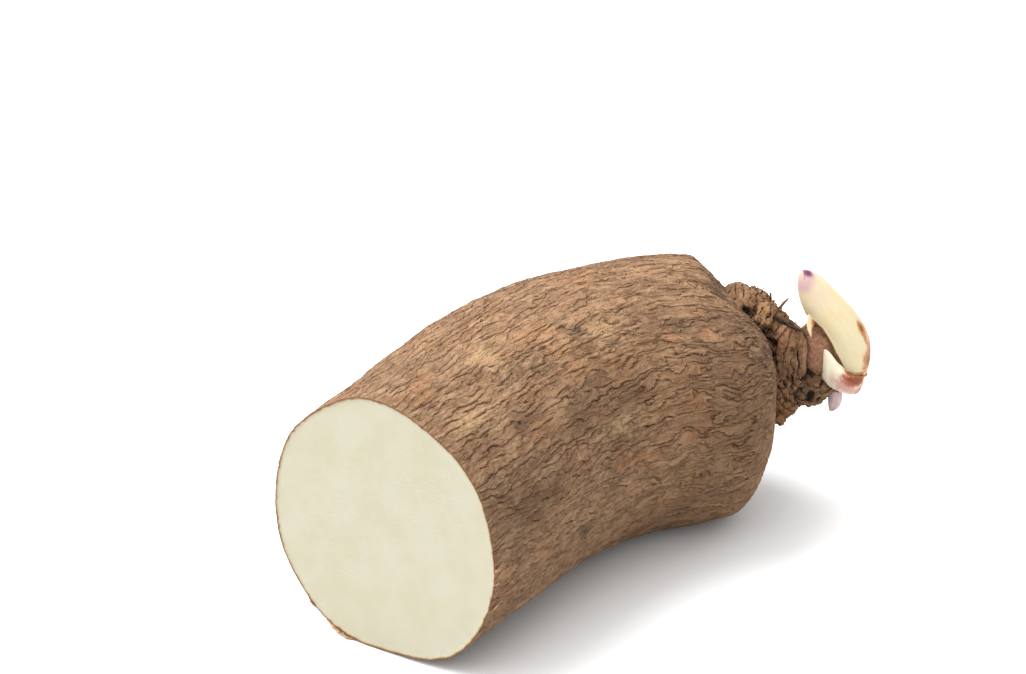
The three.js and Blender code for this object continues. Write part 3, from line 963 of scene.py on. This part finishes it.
def build_fibres(crown):
    """Wiry hairs and shreds of old roots on the crown."""
    rng = np.random.default_rng(11)
    points, normals = vertex_values(crown.data, "co") / MM, vertex_values(crown.data, "normal")
    places = from_crown(points)
    chance = sum(share * gauss(places, at, size) for share, at, size in HAIRY_PLACES)
    chance *= (places[:, 0] < 9) & (normals @ OUT > -0.4)
    parts = []
    for i in rng.choice(len(points), 230, replace=False, p=chance / chance.sum()):
        heading = unit(rng.uniform(-0.1, 0.35) * normals[i] + 0.6 * rng.normal(size=3))
        bend = 0.5 * rng.normal(size=3)
        length = rng.uniform(1.6, 5.4)
        share = np.linspace(0, 1, 5)[:, None]
        path = points[i] - 0.4 * normals[i] + length * (share * heading + share**2 * bend)
        radius = rng.uniform(0.08, 0.24)
        side = unit(np.cross(heading, rng.normal(size=3)))
        profile = scaled(radius, ((0, 1), (0.6, 0.7)))
        parts.append(tube(path, profile, 12, 6, side=side)[:2])
    points, faces = join(parts)
    material = grainy_material("crown_fibre", (172, 130, 88), (96, 64, 40))
    return make_mesh("yam_crown_fibres", points, faces, (material,))


# ---------- shoot ----------
HORN_LINE = crown_line((
    (27.4, 0, 53.4), (28.9, 0, 58.4), (29.3, 0, 64.5), (28.0, 0, 71), (24.8, 0, 77.5),
    (20.4, 0, 83.5), (16, 0, 89.5), (12.2, 0, 95.8), (8.6, 0, 102.5),
))
HORN_PROFILE = smooth_profile([
    (0, 6.4), (0.125, 7.9), (0.25, 8.6), (0.375, 8.9), (0.5, 8.8), (0.625, 8.5), (0.75, 7.7),
    (0.82, 6.8), (0.89, 5.5), (0.945, 3.9), (0.985, 2.0), (0.998, 0.5), (1, 0.02),
])
# The split in the sheath: how far round it reaches at each station.
SPLIT_STATION = (0.16, 0.2, 0.25, 0.36, 0.51, 0.61, 0.67, 0.71, 0.725)
SPLIT_ANGLE = (163, 157, 150, 140, 139, 142, 133, 115, 92)


def split_depth(station, angle):
    """How far in mm a place on the horn lies inside the split (negative outside)."""
    edge = np.radians(np.interp(station, SPLIT_STATION, SPLIT_ANGLE, right=80) - 90)
    away = np.abs(turn_between(angle, pi / 2))
    inside = (edge - away) * 8.6
    return np.minimum(inside, (0.735 - station) * 55)


def plant_skin(name, pale, deep, stain=(210, 142, 76), lit=PLANT_LIT):
    """A smooth living skin: pale with faint veins, stained where the attributes say."""
    material, g, sockets = new_material(name)
    place = attribute(g, "unbent", "Vector")
    veins, soft = g.waves(place, 20, 1 / 0.7, 0.0, 3.0), g.waves(place, 5, 5, 3.0)
    base = g.mix(g.step(g.add(veins, soft), -0.25, 0.25), colour(*pale, lit), colour(*deep, lit))
    blotch = g.add(g.grain(place, 1.8, 1.3, 8.0, 4.0, 0.75), g.grain(place, 5, 3.4, 3.0))
    wander = g.linear(blotch, 2.6, -2.6)
    for mark, wild, edges, tint in (
        ("lilac", 0.25, (0.0, 1.0), (216, 180, 180)),
        ("purple", 0.3, (0.05, 1.0), (120, 52, 96)),
        ("blush", 0.6, (0.1, 0.9), (232, 186, 170)),
        ("stain", 1.0, (0.12, 0.75), stain),
        ("scorch", 1.0, (0.25, 0.85), (150, 78, 40)),
    ):
        share = g.step(g.mul(attribute(g, mark), g.linear(wander, wild, 1.0)), *edges)
        base = g.mix(share, base, colour(*tint, PLANT_LIT))
    rest = g.weighed((veins, 0.12), (soft, 0.1))
    finish(g, sockets, base, 0.42, 0.25, rest, (0.4, (1.0, 0.7, 0.35)))
    return material


MARKS = ("lilac", "purple", "blush", "stain", "scorch")


def set_marks(obj, params, length, radius, **marks):
    """Stores where each mark is, and the places as if the piece were straight, in mm."""
    station, angle = params
    place = np.stack((station * length, radius * np.cos(angle), radius * np.sin(angle)), axis=1)
    set_attribute(obj, "unbent", place, "FLOAT_VECTOR")
    for mark in MARKS:
        set_attribute(obj, mark, limit(marks.get(mark, 0 * station)))


def near_mark(params, station, degrees, size_along, size_round):
    off = turn_between(params[1], radians(degrees))
    return hump(params[0], station, size_along) * hump(off, 0, radians(size_round))


def build_shoot():
    def shape(s, a):
        inside = split_depth(s, a)
        sunk = -(0.5 + 0.8 * limit((s - 0.28) / 0.15)) * limit(inside / 0.7)
        lip = 0.32 * hump(inside, -0.35, 0.45) * (s > 0.14)
        waves = 0.12 * np.sin(5 * a + 9 * s) + 0.15 * np.sin(2 * a - 7 * s)
        return sunk + lip + waves * np.sin(pi * s), 0 * s

    points, faces, params = tube(HORN_LINE, HORN_PROFILE, 190, 150, flat=0.9, shape=shape)
    skin = plant_skin("shoot_skin", (250, 236, 196), (249, 228, 180))
    dome = grainy_material("crown_dome", DOME_PALE, DOME_DARK, 0.6, 0.8, (5.0, 3.0, 0.6), True)
    shoot = make_mesh("yam_shoot", points, faces, (skin, dome))
    inside = split_depth(*params)
    flags = np.array([inside[list(f)].mean() > 0.35 and f[-1] < len(points) - 2 for f in faces])
    shoot.data.polygons.foreach_set("material_index", flags.astype(np.int32))
    near = partial(near_mark, params)
    edge = hump(inside, 0.15, 0.5) * (params[0] > 0.15)
    far_side = 1.8 * near(0.265, 262, 0.1, 19)
    set_marks(
        shoot, params, 62, np.interp(params[0], *np.array(HORN_PROFILE).T),
        purple=1.1 * near(0.99, 215, 0.028, 50) + 0.5 * near(0.96, 222, 0.03, 26),
        lilac=0.7 * near(0.93, 150, 0.05, 45) + 0.7 * near(0.96, 200, 0.045, 80)
        + 0.35 * near(0.84, 170, 0.14, 90),
        stain=1.5 * near(0.445, 238, 0.045, 10) + 0.6 * near(0.37, 236, 0.035, 7)
        + 1.7 * near(0.23, 234, 0.06, 20) + far_side + 0.9 * edge
        + 0.6 * hump(params[0], 0.152, 0.009) + 0.5 * (params[0] < 0.14),
        scorch=0.8 * near(0.445, 239, 0.03, 6) + 0.9 * near(0.225, 236, 0.04, 11)
        + 0.4 * far_side + 0.35 * edge + 0.9 * near(0.958, 168, 0.016, 5),
        blush=0.7 * near(0.33, 262, 0.24, 26) + 1.2 * near(0.98, 132, 0.026, 34),
    )
    shoot.data.update()
    return shoot


def build_tongue(skin):
    line = crown_line((
        (13.6, -3.2, 85.0), (12.3, -4.4, 81.8), (11.9, -5.6, 78.8), (12.4, -6.8, 75.8),
    ))
    profile = smooth_profile([
        (0, 2.0), (0.3, 1.8), (0.55, 1.35), (0.75, 0.9), (0.93, 0.4), (1, 0.05),
    ])
    points, faces, params = tube(line, profile, 50, 40, flat=0.32)
    tongue = make_mesh("yam_shoot_tongue", points, faces, (skin,))
    near = partial(near_mark, params)
    right = np.sin(params[1])
    set_marks(
        tongue, params, 12, 2,
        stain=limit(2.2 * right - 0.5) + near(0.3, 110, 0.25, 60),
        scorch=0.9 * limit(2.6 * right - 1.5),
    )
    return tongue


LEAF_TIP_RISE, LEAF_TIP_FLARE, LEAF_TIP_ANGLE, LEAF_TIP_WIDTH = 8.0, 5.0, 2.1, 0.66
LEAF_SECTION = (  # up the outside, over the rim and down the inside: station and radius
    (0, 0.05), (0, 4.5), (0.0, 7.4), (0.07, 8.5), (0.2, 9.2), (0.5, 9.7), (0.75, 9.8),
    (0.93, 9.7), (1.0, 9.4), (0.97, 9.1), (0.8, 8.9), (0.6, 8.0), (0.5, 4.0), (0.5, 0.05),
)


def build_leaf():
    line = crown_line(((25, 0, 51.4), (26.7, 0, 55.3), (28.0, 0, 59.4)))
    t = np.linspace(0, 1, 90)
    station, size = catmull(LEAF_SECTION, t).T
    station, size = limit(station), size[:, None]
    centre = catmull(line, station)
    tangent = catmull(line, limit(station + 0.01)) - catmull(line, limit(station - 0.01))
    s, a = np.meshgrid(station, np.arange(120) / 120 * 2 * pi, indexing="ij")
    tip = np.exp(-(np.abs(2 * np.sin((a - LEAF_TIP_ANGLE) / 2) / LEAF_TIP_WIDTH) ** 1.4))
    ragged = s**2 * (0.35 * np.sin(5 * a + 1) + 0.2 * np.sin(11 * a + 2))
    reach = size + LEAF_TIP_FLARE * s**1.8 * tip * (size > 7) + 0.15 * np.sin(3 * a + 5 * s)
    rise = (LEAF_TIP_RISE * s**2 * tip + ragged) * (size > 7)
    points, faces = ringed(centre, tangent, ACROSS, a, reach, reach, rise)
    skin = plant_skin("leaf_skin", (255, 251, 228), (255, 243, 214), (188, 104, 66), LEAF_LIT)
    leaf = make_mesh("yam_scale_leaf", points, faces, (skin,))
    params = np.stack((np.append(s.ravel(), (0, 0.5)), np.append(a.ravel(), (0, 0))))
    outside = np.append((t < 0.6)[:, None] * np.ones_like(a), (0, 0))
    rim = np.append((np.abs(t - 0.6) < 0.05)[:, None] * np.ones_like(a), (0, 0))
    near = partial(near_mark, params)
    foot = outside * hump(params[0], 0.03, 0.05)
    set_marks(
        leaf, params, 10, 9,
        stain=outside * (near(0.74, 198, 0.26, 36) + 0.7 * near(0.2, 228, 0.3, 8))
        + 0.8 * rim * near(1.0, 210, 0.5, 50) + 0.8 * foot * near(0, 195, 0.2, 38)
        + 0.12 * (1 - outside),
        scorch=outside * (1.1 * near(0.82, 202, 0.16, 24) + 0.5 * foot * near(0, 195, 0.2, 34)),
        blush=outside * (0.9 * near(0.45, 172, 0.4, 34) + 0.6 * near(0.3, 215, 0.3, 30))
        + 0.9 * (1 - outside),
        lilac=0.5 * outside * near(0.3, 165, 0.3, 40),
    )
    return leaf


def build_bud():
    line = crown_line(((24.2, -1, 49.5), (23.8, -1.5, 44.5), (22.2, -2, 40.1)))
    profile = smooth_profile([
        (0, 3.1), (0.3, 3.1), (0.55, 2.6), (0.75, 1.9), (0.9, 1.0), (0.97, 0.5), (1, 0.05),
    ])

    def shape(s, a):
        return 0.18 * np.sin(3 * a + 2 * s) + 0.2 * np.sin(2 * a + 6 * s), 0 * s

    points, faces, params = tube(line, profile, 60, 48, shape=shape)
    skin = plant_skin("bud_skin", (246, 226, 216), (228, 202, 204))
    bud = make_mesh("yam_root_bud", points, faces, (skin,))
    near = partial(near_mark, params)
    set_marks(
        bud, params, 9, 3,
        lilac=near(0.9, 180, 0.2, 200),
        blush=0.5 * near(0.05, 180, 0.15, 120),
    )
    return bud


STUBS = {  # each old root stub: its line, its radius, and its paler and darker sRGB
    "root_stub_1": (
        ((-3, -1, 82), (-0.2, -2.6, 87), (0.9, -4.6, 90.3), (2.8, -6.2, 92.9)),
        0.85, (214, 184, 142), (150, 112, 78),
    ),
    "root_stub_2": (
        ((-5, -8, 85), (-0.8, -10.4, 84.6), (3.2, -12.2, 83.4), (6.9, -13, 81.2)),
        1.15, (96, 76, 62), (42, 32, 26),
    ),
    "root_stub_3": (
        ((-8, -3, 86), (-5.6, -4.6, 90.5), (-4.7, -6.4, 94), (-5.4, -8.6, 96.8)),
        0.7, (176, 132, 94), (112, 76, 50),
    ),
}


def build_stub(node):
    line, radius, pale, dark = STUBS[node]
    profile = scaled(radius, ((0, 1), (0.5, 0.75), (0.85, 0.5), (0.97, 0.3)))

    def shape(s, a):
        return radius * (0.16 * np.sin(3 * a + 14 * s) + 0.1 * np.sin(23 * s)), 0 * s

    points, faces, _ = tube(crown_line(line), profile, 40, 14, side=UP, shape=shape)
    material = grainy_material("root_fibre_" + node[-1], pale, dark)
    return make_mesh("yam_" + node, points, faces, (material,))


SKIN_ENDS = (  # loose ends of skin at the cut: mm along, degrees round, mm proud; and a radius
    (((-0.2, 181, 0.3), (1.2, 180.5, 0.9), (2.6, 179.5, 1.3), (3.6, 178.5, 1.5)), 0.55),
    (((-0.1, 187.5, 0.2), (0.9, 187, 0.7), (1.9, 186.5, 1.0)), 0.45),
    (((0.0, 201, 0.2), (2.0, 199.5, 0.9), (4.2, 197.5, 1.2), (6.0, 196, 1.3)), 0.4),
    (((0.5, 301, 0.2), (0.4, 297, 0.5), (0.3, 294, 0.9), (0.5, 291.5, 1.2), (0.6, 289, 0.7)), 0.9),
    (((0.2, 292, 0.9), (-0.3, 290, 0.8), (0.1, 288, 0.5), (0.4, 286, 0.2)), 0.6),
    (((0.3, 313, 0.1), (0.2, 311, 0.5), (0.3, 309, 0.6), (0.4, 307, 0.1)), 0.5),
)


def build_skin_ends():
    """Loose ends and crumbs of skin that the knife left at the cut's rim."""
    parts = []
    for path, radius in SKIN_ENDS:
        line = []
        for along, turn, proud in path:
            spot, outward, _ = tuber_surface(np.array([along / BODY_LENGTH]), np.radians([turn]))
            line.append(spot[0, 0] + outward[0, 0] * proud)
        profile = scaled(radius, ((0, 0.6), (0.3, 1), (0.6, 0.8), (0.9, 0.4)), 0.04)

        def shape(s, a, size=radius):
            return size * (0.22 * np.sin(3 * a + 17 * s) + 0.16 * np.sin(29 * s)), 0 * s

        parts.append(tube(line, profile, 30, 10, side=outward[0, 0], flat=0.6, shape=shape)[:2])
    points, faces = join(parts)
    material = grainy_material("skin_end", (244, 206, 164), (196, 138, 88))
    return make_mesh("yam_skin_ends", points, faces, (material,))


def place_piece(piece, node):
    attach(piece, "root")
    if node:
        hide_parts(node)


place_piece(build_tuber(), "tuber")
crown = build_crown()
place_piece(crown, "crown")
place_piece(build_fibres(crown), None)
place_piece(build_skin_ends(), None)
shoot = build_shoot()
place_piece(shoot, "shoot")
place_piece(build_tongue(shoot.data.materials[0]), None)
place_piece(build_leaf(), "scale_leaf")
place_piece(build_bud(), "root_bud")
for stub in STUBS:
    place_piece(build_stub(stub), stub)


# ---------- stage, light and camera ----------
def stage_floor():
    reach = 30.0
    corners = [(reach * x, reach * y, 0) for x, y in ((-1, -1), (1, -1), (1, 1), (-1, 1))]
    mesh = bpy.data.meshes.new("floor")
    mesh.from_pydata(corners, [], [(0, 1, 2, 3)])
    floor = bpy.data.objects.new("floor", mesh)
    scene.collection.objects.link(floor)
    material, g, sockets = new_material("floor")
    paper = g.noise(g.node("ShaderNodeNewGeometry").outputs["Position"], 2.0)
    finish(g, sockets, g.mix(paper, (0.61, 0.61, 0.61, 1), (0.63, 0.63, 0.63, 1)), 0.9, 0.1)
    sockets["Emission Color"].default_value = (1, 1, 1, 1)
    sockets["Emission Strength"].default_value = 0.02
    mesh.materials.append(material)


def sun_light(name, towards, spread, power):
    """A broad soft light from a direction: spread is its angle in degrees."""
    data = bpy.data.lights.new(name, "SUN")
    data.angle = radians(spread)
    data.energy = power
    light = bpy.data.objects.new(name, data)
    light.rotation_euler = (-Vector(towards)).to_track_quat("-Z", "Y").to_euler()
    scene.collection.objects.link(light)


stage_floor()
sun_light("key", (-0.38, 0.68, 1.0), 60, 6.3)
sun_light("side", (-1.0, 0.0, 0.8), 60, 1.7)
sun_light("overhead", (0.0, 0.0, 1.0), 100, 1.5)
world = bpy.data.worlds.new("world")
scene.world = world
world.use_nodes = True
background = world.node_tree.nodes["Background"].inputs
background["Color"].default_value = (1, 1, 1, 1)
background["Strength"].default_value = 1.1
scene.view_settings.view_transform = "Standard"

CAMERA_AT = Vector((SHIFT + (-684.3, -832.7, 606.5)) * MM)
LOOKS_AT = Vector((SHIFT + (233.7, 186.9, 0.0)) * MM)
camera_data = bpy.data.cameras.new("camera")
camera_data.lens = 113.9
camera_data.sensor_width = 36.0
camera_data.clip_end = 20
camera = bpy.data.objects.new("camera", camera_data)
camera.location = CAMERA_AT
camera.rotation_euler = (LOOKS_AT - CAMERA_AT).to_track_quat("-Z", "Y").to_euler()
scene.collection.objects.link(camera)
scene.camera = camera

bpy.context.view_layer.update()
